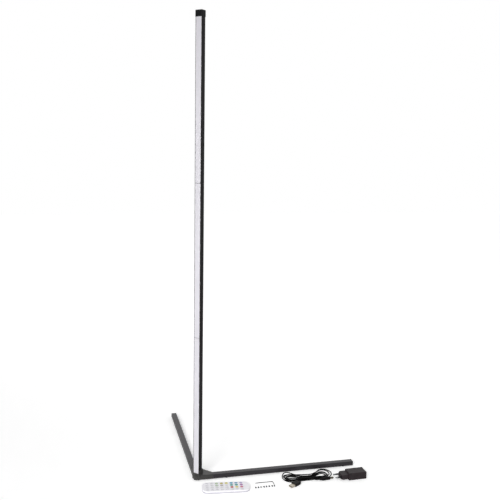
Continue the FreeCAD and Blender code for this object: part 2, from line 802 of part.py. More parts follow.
def hank_guides():
    """Guide points of the loops: waist, near right, right end, far right, waist, left the same way."""
    guides = []
    for loop in range(hank_half_turns // 2):
        turn = 2 * loop
        guides.append(hank_station(turn, 0, -hank_reach(turn), (1, 0)))
        waist = hank_reach(turn + 1) - (top_strand_tuck if turn + 1 > hank_climbs[1] else 0)
        run, rise = fan_heading(lobe_station, right_loop_far[loop] - waist)
        guides.append(hank_station(turn + 0.2, lobe_station, right_loop_near[loop], (1, 0)))
        guides.append(hank_station(turn + 0.5, right_loop_end[loop], right_loop_crest[loop], (0, 1)))
        guides.append(hank_station(turn + 0.8, lobe_station, right_loop_far[loop], (-run, -rise)))
        guides.append(hank_station(turn + 1, 0, waist, (-1, 0)))
        near, far = left_loop_near[loop], left_loop_far[loop]
        run, rise = fan_heading(lobe_station, far - waist)
        guides.append(hank_station(turn + 1.2, -lobe_station, far, (-run, rise)))
        guides.append(hank_station(turn + 1.5, left_loop_end[loop], (near + far) / 2, (0, -1)))
        guides.append(hank_station(turn + 1.8, -lobe_station, near, (1, 0)))
    guides.append(hank_station(hank_half_turns, 0, -hank_reach(hank_half_turns), (1, 0)))
    return guides


def to_hank(place):
    """A floor place in the hank's own coordinates."""
    moved = place - hank_centre
    return FreeCAD.Rotation(Z_AXIS, -hank_angle).multVec(moved)


def lead_ends():
    """Where the wire meets the two reliefs, in hank coordinates, and its heading there."""
    turn = FreeCAD.Rotation(Z_AXIS, -hank_angle)
    usb_dir = V(math.cos(math.radians(usb_angle)), math.sin(math.radians(usb_angle)), 0)
    usb_start = usb_back - usb_dir * usb_relief_length
    barrel_dir = V(math.cos(math.radians(barrel_angle)), math.sin(math.radians(barrel_angle)), 0)
    barrel_end = barrel_back - barrel_dir * barrel_relief_length
    return (to_hank(usb_start), turn.multVec(-usb_dir), to_hank(barrel_end), turn.multVec(barrel_dir))


def lead_guides():
    """All guide points of the wire, with a straight diameter at each end."""
    start, leave, end, arrive = lead_ends()
    start.z = usb_plug_height / 2
    end.z = barrel_dia / 2
    guides = [(start, leave), (start + leave * lead_dia, leave)]
    slope = math.radians(join_heading)
    guides.append((join_place + V(0, 0, lead_dia / 2), V(math.cos(slope), math.sin(slope), 0)))
    guides += hank_guides()
    guides += [(end - arrive * lead_dia, arrive), (end, arrive)]
    return guides


def arc_through(start, corner, end):
    """The arc that is tangent to start-corner and corner-end; straight where they are in line."""
    chord = end - start
    reach = (corner - start).Length
    middle = (start + end) * 0.5
    offset = corner - middle
    if offset.Length < 1e-6 * reach:
        return Part.LineSegment(start, end).toShape(), None
    cosine = min(1.0, chord.Length / 2 / reach)
    half_turn = math.acos(cosine)
    rise = chord.Length / 2 * math.tan(half_turn / 2)
    top = middle + offset.normalize() * rise
    radius = chord.Length / 2 / math.sin(half_turn)
    return Part.Arc(start, top, end).toShape(), radius


def biarc(p0, t0, p1, t1):
    """Two arcs that join p0 to p1 with the given headings."""
    gap = p1 - p0
    both = t0 + t1
    spread = 2 * (1 - t0.dot(t1))
    if spread < 1e-9:
        reach = gap.dot(gap) / (4 * gap.dot(t1))
    else:
        lean = gap.dot(both)
        reach = (-lean + math.sqrt(lean * lean + spread * gap.dot(gap))) / spread
    c0 = p0 + t0 * reach
    c1 = p1 - t1 * reach
    joint = (c0 + c1) * 0.5
    return [arc_through(p0, c0, joint), arc_through(joint, c1, p1)]


def make_lead():
    """The wound wire as one tube."""
    guides = lead_guides()
    edges = []
    radii = []
    for (p0, t0), (p1, t1) in zip(guides, guides[1:]):
        t0 = V(t0).normalize()
        t1 = V(t1).normalize()
        if (p1 - p0).cross(t0).Length < 1e-6 and t0.dot(t1) > 1 - 1e-9:
            edges.append(Part.LineSegment(p0, p1).toShape())
            continue
        for edge, radius in biarc(p0, t0, p1, t1):
            edges.append(edge)
            if radius:
                radii.append(radius)
    path = Part.Wire(edges)
    start, heading = guides[0]
    ring = Part.Wire(Part.Circle(start, V(heading), lead_dia / 2).toShape())
    sweep = Part.BRepOffsetAPI.MakePipeShell(path)
    sweep.add(ring)
    sweep.build()
    sweep.makeSolid()
    tube = sweep.shape()
    report_lead(path, tube, radii)
    return turned(tube, hank_angle, hank_centre)


def report_lead(path, tube, radii):
    """Prints the wire's length, tightest bend, volume match and least gap to itself."""
    points = path.discretize(Distance=1.0)
    step = path.Length / (len(points) - 1)
    skip = int(math.ceil(4 * lead_dia / step))
    least = 1e9
    for i, a in enumerate(points):
        for b in points[i + skip:]:
            if abs(a.x - b.x) < least and abs(a.y - b.y) < least:
                least = min(least, (a - b).Length)
    ideal = math.pi * (lead_dia / 2) ** 2 * path.Length
    print("lead: length %.1f, tightest radius %.1f, volume ratio %.4f, least gap to itself %.2f"
          % (path.Length, min(radii), tube.Volume / ideal, least - lead_dia))


def make_usb_plug():
    """The moulded grip with its relief, and the metal shell with its contact board."""
    half = usb_plug_width / 2
    height = usb_plug_height
    grip = box(0, usb_plug_length, -half, half, -height / 2, height / 2)
    grip = grip.makeFillet(usb_plug_round, grip.Edges)
    relief = Part.makeCone(usb_relief_dia / 2, usb_relief_dia / 2 + 1.0, usb_relief_length + 1,
                           V(-usb_relief_length, 0, 0), X_AXIS)
    grip = grip.fuse(relief)
    shell_start = usb_plug_length - usb_shell_seat
    outer = box(shell_start, usb_plug_length + usb_shell_length, -usb_shell_width / 2, usb_shell_width / 2,
                -usb_shell_height / 2, usb_shell_height / 2)
    grip = grip.cut(outer)
    end = usb_plug_length + usb_shell_length
    inner = usb_shell_width / 2 - usb_shell_wall
    inner_top = usb_shell_height / 2 - usb_shell_wall
    shell = outer.cut(box(shell_start + 1, end + cut_over, -inner, inner, -inner_top, inner_top))
    for y in (-usb_window_offset, usb_window_offset):
        shell = shell.cut(box(end - usb_window_end - usb_window, end - usb_window_end,
                              y - usb_window / 2, y + usb_window / 2, 0, usb_shell_height))
    tongue = box(shell_start + 1, end - 0.6, -inner, inner, -inner_top, -0.1)
    pieces = [grip.removeSplitter(), shell.fuse(tongue).removeSplitter()]
    return turned(Part.makeCompound(pieces), usb_angle, usb_back)


def make_barrel_plug():
    """The round grip with its ribbed relief, and the hollow metal tip."""
    grip = rod(barrel_dia / 2, barrel_length, V(0, 0, 0), X_AXIS)
    grip = grip.makeFillet(barrel_round, [e for e in grip.Edges if len(e.Vertexes) == 1])
    relief = Part.makeCone(barrel_relief_dia / 2, barrel_relief_dia / 2 + 1.2, barrel_relief_length + 1.2,
                           V(-barrel_relief_length, 0, 0), X_AXIS)
    grip = grip.fuse(relief)
    seat = V(barrel_length - barrel_tip_seat, 0, 0)
    grip = grip.cut(rod(barrel_tip_dia / 2, barrel_tip_seat + cut_over, seat, X_AXIS))
    tip = rod(barrel_tip_dia / 2, barrel_tip_length + barrel_tip_seat, seat, X_AXIS)
    tip = tip.cut(rod(barrel_tip_bore / 2, barrel_tip_length, V(barrel_length + 0.5, 0, 0), X_AXIS))
    return turned(Part.makeCompound([grip.removeSplitter(), tip]), barrel_angle, barrel_back)


# ---- tools on the floor

def make_hex_key():
    """A bent six-sided key lying flat; its corner is at the right end of the long leg."""
    z = hex_size / 2
    a = V(-hex_key_long, 0, z)
    b = V(-hex_key_bend, 0, z)
    c = V(0, -hex_key_bend, z)
    d = V(0, -hex_key_short, z)
    root = math.sqrt(0.5)
    centre = V(-hex_key_bend, -hex_key_bend, z)
    bend = Part.Arc(b, centre + V(hex_key_bend * root, hex_key_bend * root, 0), c)
    path = Part.Wire([Part.LineSegment(a, b).toShape(), bend.toShape(), Part.LineSegment(c, d).toShape()])
    corner = hex_size / math.sqrt(3)
    points = [a + V(0, corner * math.cos(math.radians(60 * k)), corner * math.sin(math.radians(60 * k)))
              for k in range(7)]
    bar = path.makePipeShell([Part.makePolygon(points)], True, False)
    return turned(bar, 0, hex_key_corner)


def make_spare_screws():
    """A row of loose set screws, each lying on its side."""
    screws = []
    for k in range(spare_screw_count):
        place = spare_screw_start + V(spare_screw_pitch * k, screw_length / 2, screw_radius)
        lean = math.radians(-90 + 12 * math.sin(2.3 * k + 0.6))
        screws.append(grub_screw(place, V(math.cos(lean), math.sin(lean), 0)))
    return Part.makeCompound(screws)


def make_all():
    """Every sub-part by name."""
    right_arm = make_right_arm()
    end_cap = make_end_cap()
    parts = {
        "corner_bracket": make_corner_bracket(),
        "right_arm": right_arm,
        "left_arm": swap_arms(right_arm),
        "arm_end_caps": Part.makeCompound([end_cap, swap_arms(end_cap)]),
        "foot_pads": make_foot_pads(),
        "light_strips": make_strips(),
        "section_joiners": make_joiners(),
        "top_cap": make_top_cap(),
        "grub_screws": make_grub_screws(),
        "power_inlet": make_power_inlet(),
        "receiver_board": make_receiver_board(),
        "remote_base": make_remote_base(),
        "remote_cover": make_remote_cover(),
        "remote_key_mat": make_key_mat(),
        "remote_board": make_control_board(),
        "battery_tray": make_battery_tray(),
        "adapter_case": make_adapter_case(),
        "adapter_pins": make_adapter_pins(),
        "adapter_board": make_adapter_board(),
        "lead_hank": make_lead(),
        "usb_plug": make_usb_plug(),
        "barrel_plug": make_barrel_plug(),
        "hex_key": make_hex_key(),
        "spare_screws": make_spare_screws(),
    }
    for name in section_spans:
        parts["pole_" + name] = make_section(name)
    parts["diffusers"] = Part.makeCompound([make_diffuser(name) for name in section_spans])
    for row in range(key_rows):
        for column in range(key_columns):
            parts["key_%d%s" % (row + 1, "abcd"[column])] = make_key(row, column)
    return parts


def main():
    """Writes one file per sub-part and says what each holds."""
    os.makedirs("parts", exist_ok=True)
    parts = make_all()
    for name, shape in parts.items():
        shape.exportStep("parts/%s.step" % name)
        box_ = shape.BoundBox
        print("%-16s solids %2d valid %s  x %.1f..%.1f y %.1f..%.1f z %.1f..%.1f"
              % (name, len(shape.Solids), shape.isValid(), box_.XMin, box_.XMax,
                 box_.YMin, box_.YMax, box_.ZMin, box_.ZMax))
    print("sub-parts:", len(parts))


main()
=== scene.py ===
# %% [markdown]
# # Dressing a corner floor lamp
# The engineering model gives every piece its true size and place. This file gives each one its
# finish, winds the lead as a real length of cable, and adds the small printed and turned details.
# Everything is in metres, in the same frame as the model: the origin is on the floor under the
# pole, +Z goes up the pole, +X and +Y follow the two arms of the foot.

# %% Load the fixed frame
import json
import math

import bpy
import numpy as np
from mathutils import Matrix, Vector


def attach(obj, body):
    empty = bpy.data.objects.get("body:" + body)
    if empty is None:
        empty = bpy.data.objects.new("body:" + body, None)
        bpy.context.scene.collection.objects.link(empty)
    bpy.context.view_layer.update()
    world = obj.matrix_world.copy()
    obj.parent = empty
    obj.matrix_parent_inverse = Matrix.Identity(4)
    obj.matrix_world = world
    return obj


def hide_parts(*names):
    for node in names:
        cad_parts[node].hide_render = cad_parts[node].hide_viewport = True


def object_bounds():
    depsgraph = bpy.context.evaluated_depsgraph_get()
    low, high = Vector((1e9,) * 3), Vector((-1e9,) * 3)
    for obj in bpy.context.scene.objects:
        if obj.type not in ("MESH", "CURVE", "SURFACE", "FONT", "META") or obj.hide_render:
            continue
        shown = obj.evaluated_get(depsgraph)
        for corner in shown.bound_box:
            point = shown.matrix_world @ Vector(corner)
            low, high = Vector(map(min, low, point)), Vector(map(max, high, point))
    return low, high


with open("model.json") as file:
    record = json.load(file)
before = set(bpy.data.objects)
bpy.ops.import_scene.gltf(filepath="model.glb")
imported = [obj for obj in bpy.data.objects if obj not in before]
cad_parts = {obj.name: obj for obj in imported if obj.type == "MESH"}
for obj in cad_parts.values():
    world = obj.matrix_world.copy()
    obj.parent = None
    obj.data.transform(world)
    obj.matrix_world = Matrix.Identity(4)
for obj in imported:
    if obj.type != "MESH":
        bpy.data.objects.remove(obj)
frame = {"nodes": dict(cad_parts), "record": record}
nodes = frame["nodes"]
cad_low, cad_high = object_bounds()
MM = 0.001
print("nodes:", len(nodes), "size of the model in mm:", [round(v / MM) for v in cad_high - cad_low])

# %% [markdown]
# ## The camera
# The lamp was photographed from just under a metre up and from its left, looking a little to the
# right and down. A camera can be aimed with a constraint or with Euler angles. Here its three
# angles become three unit vectors, which keeps the meaning of each one plain: where it looks, its
# right and its up.

# %% Camera
CAMERA_PLACE = Vector((-0.3009, -1.7395, 0.8926))
LOOK_RIGHT, LOOK_DOWN, LEAN = 0.245, 0.186, 0.020
LENS_MM = 50.68
SENSOR_MM = 36.0
FRAME_RAISE = 0.05
NEAREST_SEEN = 0.01


def camera_matrix(place, look_right, look_down, lean):
    """The camera's axes from its heading: right, up and back, each a unit vector."""
    ahead = Vector((math.sin(look_right) * math.cos(look_down),
                    math.cos(look_right) * math.cos(look_down), -math.sin(look_down)))
    level = Vector((math.cos(look_right), -math.sin(look_right), 0))
    upright = level.cross(ahead)
    right = level * math.cos(lean) + upright * math.sin(lean)
    up = upright * math.cos(lean) - level * math.sin(lean)
    turn = Matrix((right, up, -ahead)).transposed().to_4x4()
    return Matrix.Translation(place) @ turn


camera = bpy.data.objects.new("camera", bpy.data.cameras.new("camera"))
bpy.context.collection.objects.link(camera)
camera.matrix_world = camera_matrix(CAMERA_PLACE, LOOK_RIGHT, LOOK_DOWN, LEAN)
camera.data.lens = LENS_MM
camera.data.sensor_width = SENSOR_MM
camera.data.shift_y = FRAME_RAISE
camera.data.clip_start = NEAREST_SEEN
bpy.context.scene.camera = camera
bpy.context.scene.view_settings.view_transform = "Standard"
pole_middle = Vector((0, 0, cad_high[2] / 2))
print("camera stands", round((CAMERA_PLACE - pole_middle).length, 2), "m from the pole's middle")

# %% [markdown]
# ## Tools for materials
# Colours are written as the sRGB hex codes that a paint chart gives, and one function turns them
# to the linear values that a render works in. Another adds one shader node with its settings and
# its links. What most finishes share is built from that: a grain of a real size, two colours
# that mix in clouds, and a shader with a bump of a real depth.

# %% Colours, nodes and patterns
WIDE_SPAN = (0.3, 0.7)
EVEN_SPAN = (0.35, 0.65)
ALL_OF_IT = (0.0, 1.0)


def linear(code):
    """An sRGB hex code as linear red, green, blue and a full alpha.

    By the sRGB standard: straight near black, and a power of 2.4 above that.
    """
    channels = [int(code[i:i + 2], 16) / 255 for i in (1, 3, 5)]
    return [c / 12.92 if c <= 0.04045 else ((c + 0.055) / 1.055) ** 2.4 for c in channels] + [1.0]


def add(tree, kind, sockets=None, **settings):
    """Adds one node; a socket gets a value, or a link if it is given another node's output."""
    made = tree.nodes.new(kind)
    for name, value in settings.items():
        setattr(made, name, value)
    for name, value in (sockets or {}).items():
        if isinstance(value, bpy.types.NodeSocket):
            tree.links.new(value, made.inputs[name])
        else:
            made.inputs[name].default_value = value
    return made


def new_material(name):
    """An empty material and its node tree."""
    material = bpy.data.materials.new(name)
    material.use_nodes = True
    material.node_tree.nodes.clear()
    return material, material.node_tree


def grain(tree, size_mm, stretch=(1.0, 1.0, 1.0), detail=2.0):
    """Cloudy grain whose lumps are size_mm across, longer along an axis with a larger stretch."""
    place = add(tree, "ShaderNodeTexCoord")
    spread = add(tree, "ShaderNodeMapping",
                 {"Vector": place.outputs["Object"], "Scale": [1 / s for s in stretch]})
    cloud = add(tree, "ShaderNodeTexNoise",
                {"Vector": spread.outputs["Vector"], "Scale": 1000 / size_mm, "Detail": detail})
    return cloud.outputs["Fac"]


def graded_grain(tree, size_mm, span=WIDE_SPAN, gives=ALL_OF_IT, **shape):
    """Grain whose middle span is drawn out over the whole range that it gives."""
    return add(tree, "ShaderNodeMapRange",
               {"Value": grain(tree, size_mm, **shape), "From Min": span[0], "From Max": span[1],
                "To Min": gives[0], "To Max": gives[1]}).outputs["Result"]


def clouded(tree, size_mm, first, second, span=WIDE_SPAN, **shape):
    """Two colours, hex codes or linear values, that mix in clouds size_mm across."""
    ends = [linear(c) if isinstance(c, str) else c for c in (first, second)]
    share = graded_grain(tree, size_mm, span, **shape)
    return add(tree, "ShaderNodeMix", {0: share, 6: ends[0], 7: ends[1]}, data_type="RGBA").outputs[2]


def finish(tree, height=None, depth_mm=0.0, **sockets):
    """The shader, with a bump of a real depth if it has a height, wired to the output.

    Sockets are named with _ for each space.
    """
    values = {name.replace("_", " "): value for name, value in sockets.items()}
    if height is not None:
        bump = add(tree, "ShaderNodeBump", {"Height": height, "Distance": depth_mm * MM})
        values["Normal"] = bump.outputs["Normal"]
    shader = add(tree, "ShaderNodeBsdfPrincipled", values)
    add(tree, "ShaderNodeOutputMaterial", {"Surface": shader.outputs["BSDF"]})


def dress(material, *names):
    """Gives model pieces their finish."""
    for name in names:
        for slot in nodes[name].material_slots:
            slot.material = material
    print(material.name + ":", len(names), "pieces, the first", names[0])


# %% [markdown]
# ## The floor
# A product cut-out has a white floor. Stronger lamps would whiten a pale sheet, but they would
# bleach the lamp too. So the sheet adds a little light of its own, for camera rays only, and more
# of it far off where the lamps don't reach. It reads as white, and it still shows the lamp's soft
# shadow.

# %% Floor
FLOOR_SIZE = 14.0
FLOOR_SPECK_MM = 40.0
GLOW_NEAR, GLOW_FAR = 0.30, 0.56
GLOW_STARTS, GLOW_ENDS = 0.4, 1.6


def make_floor():
    """A wide pale sheet just under the pads."""
    half = FLOOR_SIZE / 2
    mesh = bpy.data.meshes.new("studio_floor")
    mesh.from_pydata([(-half, -half, 0), (half, -half, 0), (half, half, 0), (-half, half, 0)], [],
                     [(0, 1, 2, 3)])
    floor = bpy.data.objects.new("studio_floor", mesh)
    bpy.context.collection.objects.link(floor)
    material, tree = new_material("white_paper_floor")
    ray = add(tree, "ShaderNodeLightPath")
    place = add(tree, "ShaderNodeTexCoord").outputs["Object"]
    away = add(tree, "ShaderNodeVectorMath", {0: place}, operation="LENGTH").outputs["Value"]
    lift = add(tree, "ShaderNodeMapRange", {"Value": away, "From Min": GLOW_STARTS, "From Max": GLOW_ENDS,
                                            "To Min": GLOW_NEAR, "To Max": GLOW_FAR}).outputs["Result"]
    glow = add(tree, "ShaderNodeMath", {0: ray.outputs["Is Camera Ray"], 1: lift}, operation="MULTIPLY")
    finish(tree, Base_Color=clouded(tree, FLOOR_SPECK_MM, "#f0f0f0", "#f4f4f4"), Roughness=0.9,
           Emission_Color=linear("#ffffff"), Emission_Strength=glow.outputs[0])
    mesh.materials.append(material)


make_floor()
print("floor", FLOOR_SIZE, "m wide, glow", GLOW_NEAR, "to", GLOW_FAR)

# %% [markdown]
# ## The sky
# The surround is white to the camera and dimmer as a lamp. Were it white all over in a mirror
# too, every black top face would get a pale haze. So there it is white low down and behind the
# lamp and dim overhead, as a studio's ceiling is dimmer than its lit backdrop.

# %% Sky
SKY_AS_LIGHT = 0.50
DARK_CEILING = 0.25
HORIZON_BAND = (0.0, 0.3)
BACKDROP_BAND = (0.15, 0.6)


def make_sky():
    """A white surround for the eye; in mirrors its ceiling is dark except behind the lamp."""
    world = bpy.data.worlds.new("white_studio")
    bpy.context.scene.world = world
    world.use_nodes = True
    tree = world.node_tree
    tree.nodes.clear()
    ray = add(tree, "ShaderNodeLightPath").outputs
    direction = add(tree, "ShaderNodeTexCoord").outputs["Generated"]
    toward = add(tree, "ShaderNodeSeparateXYZ", {"Vector": direction}).outputs
    low_band = add(tree, "ShaderNodeMapRange",
                   {"Value": toward["Z"], "From Min": HORIZON_BAND[0], "From Max": HORIZON_BAND[1],
                    "To Min": 1.0, "To Max": DARK_CEILING}).outputs["Result"]
    backdrop = add(tree, "ShaderNodeMapRange",
                   {"Value": toward["Y"], "From Min": BACKDROP_BAND[0], "From Max": BACKDROP_BAND[1],
                    "To Min": DARK_CEILING, "To Max": 1.0}).outputs["Result"]
    mirrored = add(tree, "ShaderNodeMath", {0: low_band, 1: backdrop}, operation="MAXIMUM").outputs[0]
    seen = add(tree, "ShaderNodeMath", {0: ray["Is Camera Ray"], 1: ray["Is Transmission Ray"]},
               operation="MAXIMUM").outputs[0]
    plain = add(tree, "ShaderNodeMix", {0: seen, 2: SKY_AS_LIGHT, 3: 1.0}).outputs[0]
    strength = add(tree, "ShaderNodeMix", {0: ray["Is Glossy Ray"], 2: plain, 3: mirrored}).outputs[0]
    sky = add(tree, "ShaderNodeBackground", {"Color": linear("#ffffff"), "Strength": strength})
    add(tree, "ShaderNodeOutputWorld", {"Surface": sky.outputs["Background"]})


make_sky()
print("sky as light", SKY_AS_LIGHT, "and its ceiling in mirrors", DARK_CEILING)

# %% [markdown]
# ## The studio lamps
# A soft box stands at the front left. It is narrowed, so that it lights the foot and what lies
# before it more than the room. A wide fill of about the same power lights the right sides. A sun
# or point lamps would be simpler, but their hard shadows would show on the white floor.

# %% Studio lamps
SOFTBOX_PLACE, SOFTBOX_POWER, SOFTBOX_SPREAD = (-1.2, -2.2, 1.7), 6.5, math.radians(44)
FILL_PLACE, FILL_POWER = (2.2, -1.4, 1.6), 6.0
LAMP_TARGET = (0.1, 0.0, 0.4)
LAMP_SIZE = 1.4


def make_area_lamp(name, place, power, spread=math.pi):
    """A square area lamp that faces the target."""
    lamp = bpy.data.objects.new(name, bpy.data.lights.new(name, "AREA"))
    bpy.context.collection.objects.link(lamp)
    lamp.location = place
    lamp.rotation_euler = (Vector(LAMP_TARGET) - Vector(place)).to_track_quat("-Z", "Y").to_euler()
    lamp.data.energy = power
    lamp.data.size = LAMP_SIZE
    lamp.data.spread = spread


make_area_lamp("softbox", SOFTBOX_PLACE, SOFTBOX_POWER, SOFTBOX_SPREAD)
make_area_lamp("fill", FILL_PLACE, FILL_POWER)
print("lamps:", SOFTBOX_POWER, "and", FILL_POWER, "W, each", LAMP_SIZE, "m square")

# %% [markdown]
# ## Powder-coated foot
# The cast corner and the two steel arms are powder coated: a baked plastic skin with a faint
# orange-peel ripple about a millimetre across. It is satin, so a low angle shows the white
# studio in its top faces. The ripple could be real hills in the mesh, but at a twentieth of a
# millimetre a bump looks the same. The colour is a near-black grey.

# %% Powder coat
PEEL_MM, PEEL_DEPTH_MM = 1.1, 0.05
COAT_CLOUD_MM = 14.0
COAT_WEAR_MM, COAT_WEAR = 5.0, 0.05


def powder_coat(name, dark, light, roughness):
    """Baked powder paint: near-black, orange-peel ripple, satin."""
    material, tree = new_material(name)
    worn = graded_grain(tree, COAT_WEAR_MM, gives=(roughness - COAT_WEAR, roughness + COAT_WEAR))
    finish(tree, grain(tree, PEEL_MM), PEEL_DEPTH_MM, Roughness=worn, IOR=1.5,
           Base_Color=clouded(tree, COAT_CLOUD_MM, dark, light, EVEN_SPAN))
    return material


dress(powder_coat("powder_coat_corner", "#302f2e", "#373635", 0.42), "corner_bracket")
dress(powder_coat("powder_coat_arms", "#1d1a1e", "#231f25", 0.38), "right_arm", "left_arm")

# %% [markdown]
# ## Pole extrusions
# The pole is three lengths of black anodised aluminium. An extrusion keeps fine lines along its
# length from the die. A wave pattern would space them evenly, which the real ones aren't, so this
# is a cloudy grain stretched until it is over a hundred times longer than it is wide. Real die
# lines are a few tenths of a millimetre apart; these are drawn coarser, so that they show.

# %% Black anodised aluminium
DIE_LINE_MM, DIE_LINE_DEPTH_MM = 0.9, 0.02
DIE_LINES = {"stretch": (1, 1, 120), "detail": 3.0}
DYE_CLOUD_MM = 60.0
ANODISED_ROUGHNESS = (0.40, 0.50)


def black_anodised():
    """Dyed anodised extrusion: matt black with die lines along the pole."""
    material, tree = new_material("black_anodised_aluminium")
    finish(tree, grain(tree, DIE_LINE_MM, **DIE_LINES), DIE_LINE_DEPTH_MM, IOR=1.5, Specular_IOR_Level=0.15,
           Base_Color=clouded(tree, DYE_CLOUD_MM, "#0d0c0e", "#131214"),
           Roughness=graded_grain(tree, DIE_LINE_MM, gives=ANODISED_ROUGHNESS, **DIE_LINES))
    return material


dress(black_anodised(), "pole_lower", "pole_middle", "pole_upper")

# %% [markdown]
# ## Opal diffusers
# The front of the pole is an opal polycarbonate cover. Unlit it is a soft lilac-white: light goes
# in, scatters and comes out again. Nothing behind it can be made out, so it needs no
# transmission, and a little subsurface scattering is enough to soften it. The cover is extruded
# too, so it has faint lines along it.

# %% Opal polycarbonate
OPAL_LINE_MM, OPAL_LINE_DEPTH_MM, OPAL_LINE_STRETCH = 1.5, 0.01, (1, 1, 80)
OPAL_CLOUD_MM, OPAL_CLOUD_STRETCH = 90.0, (1, 1, 3)
OPAL_SCATTER = (0.002, 0.002, 0.002)


def opal_polycarbonate():
    """Extruded opal plastic with a satin face."""
    material, tree = new_material("opal_polycarbonate")
    lines = grain(tree, OPAL_LINE_MM, stretch=OPAL_LINE_STRETCH)
    finish(tree, lines, OPAL_LINE_DEPTH_MM, Roughness=0.42, IOR=1.58,
           Base_Color=clouded(tree, OPAL_CLOUD_MM, "#d0ced4", "#d6d4da", stretch=OPAL_CLOUD_STRETCH),
           Subsurface_Weight=0.15, Subsurface_Radius=OPAL_SCATTER, Subsurface_Scale=1.0)
    return material


dress(opal_polycarbonate(), "diffusers")

# %% [markdown]
# ## Moulded black plastic and rubber
# The caps, the inlet and the adapter are ABS or polycarbonate from a spark-eroded mould, which
# leaves a fine even texture of small pits. Cloudy noise would be too soft for that, and the cells
# of a Voronoi pattern are about right. Real pits are about a tenth of a millimetre across; they
# are drawn coarser, so that they show. The pads are solid black rubber, duller and rougher.

# %% Spark-textured plastic and rubber
PLASTIC_CLOUD_MM = 9.0
PLASTIC_WEAR_MM, PLASTIC_WEAR = 3.0, 0.04


def textured_plastic(name, dark, light, roughness, pit_mm=0.6, depth_mm=0.04, shine=0.3):
    """Moulded plastic with the fine pits of a spark-eroded mould."""
    material, tree = new_material(name)
    place = add(tree, "ShaderNodeTexCoord").outputs["Object"]
    pits = add(tree, "ShaderNodeTexVoronoi", {"Vector": place, "Scale": 1000 / pit_mm})
    worn = graded_grain(tree, PLASTIC_WEAR_MM, gives=(roughness - PLASTIC_WEAR, roughness + PLASTIC_WEAR))
    finish(tree, pits.outputs["Distance"], depth_mm, Roughness=worn, IOR=1.5, Specular_IOR_Level=shine,
           Base_Color=clouded(tree, PLASTIC_CLOUD_MM, dark, light, EVEN_SPAN))
    return material


dress(textured_plastic("black_abs_caps", "#0b0b0d", "#111113", 0.45, shine=0.15),
      "top_cap", "arm_end_caps", "power_inlet")
dress(textured_plastic("black_polycarbonate_adapter", "#1d1518", "#271d21", 0.5, pit_mm=0.8),
      "adapter_case")
dress(textured_plastic("black_rubber_pads", "#060606", "#0b0b0b", 0.8, pit_mm=1.2, depth_mm=0.06, shine=0.1),
      "foot_pads")

# %% [markdown]
# ## Blackened steel and hidden metal
# The set screws are steel with a black oxide skin: still a metal, but its colour is nearly black.
# The hex key has a phosphate skin, which is a little greyer, and the joiner plates inside the
# pole are plain zinc-plated steel. A bath leaves blotches, so one function gives all three a
# colour and a shine that change from place to place.

# %% Steel finishes
SKIN_GRAIN_MM, SKIN_DEPTH_MM = 0.4, 0.01
STEEL_WEAR = 0.06


def worked_steel(name, dark, light, roughness, blotch_mm=2.0):
    """Steel under a thin skin: metallic, with blotches from the bath."""
    material, tree = new_material(name)
    worn = graded_grain(tree, blotch_mm / 2, gives=(roughness - STEEL_WEAR, roughness + STEEL_WEAR))
    finish(tree, grain(tree, SKIN_GRAIN_MM), SKIN_DEPTH_MM, Metallic=1.0, Roughness=worn,
           Base_Color=clouded(tree, blotch_mm, dark, light, EVEN_SPAN, detail=4.0))
    return material


black_oxide = worked_steel("black_oxide_steel", "#060607", "#0c0c0d", 0.55)
dress(black_oxide, "grub_screws", "spare_screws")
dress(worked_steel("phosphated_steel_key", "#29292b", "#38383b", 0.5), "hex_key")
dress(worked_steel("zinc_plated_steel", "#8f9399", "#a9adb2", 0.32, blotch_mm=6.0), "section_joiners")

# %% [markdown]
# ## Circuit boards and the light strips
# These show only when the lamp or handset is opened. A board is fibreglass under green lacquer;
# the strip is a white flexible board. The glass threads could be drawn one by one, but under
# lacquer a checker as a faint bump passes for them, and faint clouds vary the colour.

# %% Boards
LACQUER_CLOUD_MM = 7.0
WEAVE_DEPTH_MM = 0.01


def board_lacquer(name, dark, light, weave_mm=0.8):
    """Lacquered board with its glass weave showing faintly through."""
    material, tree = new_material(name)
    place = add(tree, "ShaderNodeTexCoord").outputs["Object"]
    weave = add(tree, "ShaderNodeTexChecker", {"Vector": place, "Scale": 1000 / weave_mm})
    finish(tree, weave.outputs["Fac"], WEAVE_DEPTH_MM, Roughness=0.35, IOR=1.52,
           Base_Color=clouded(tree, LACQUER_CLOUD_MM, dark, light))
    return material


dress(board_lacquer("green_board", "#0d3b22", "#12502c"), "receiver_board", "remote_board", "adapter_board")
dress(board_lacquer("white_flexible_strip", "#d9d6cb", "#e7e5dc", weave_mm=1.6), "light_strips")

# %% [markdown]
# ## Handset shells, dome sheet and keys
# The handset is white ABS. Its lower shell is painted a shade greyer: painted shade that stands in
# for the thin contact shadow along its foot on the floor. Its keys are flat and round; some are
# plain with printed rings and signs, the others are coloured. Each colour is one silicone
# pigment, so one function makes them all from a list of colour codes, and the model says which
# key has which.

# %% Handset finishes
KEY_COLOURS = {
    "key_white": "#ebeaee", "key_pale_green": "#b9cdae", "key_grey_green": "#bccab8",
    "key_olive": "#bab068", "key_yellow": "#d9cf7a", "key_cyan": "#4fa3c4",
    "key_blue_grey": "#86a9c9", "key_lilac": "#c3bada", "key_grey": "#bdb9bb",
    "key_teal": "#4c9d9a", "key_purple": "#b07fb4", "key_red": "#b9443f", "key_rose": "#cf7d94",
}
ABS_GRAIN_MM, ABS_DEPTH_MM = 0.5, 0.01
ABS_CLOUD_MM, ABS_WEAR_MM = 22.0, 6.0
ABS_ROUGHNESS = (0.36, 0.46)
ABS_SCATTER = (0.001, 0.001, 0.001)
SILICONE_GRAIN_MM, SILICONE_DEPTH_MM = 0.3, 0.008
SILICONE_CLOUD_MM = 3.0
PIGMENT_DEPTH = 0.88


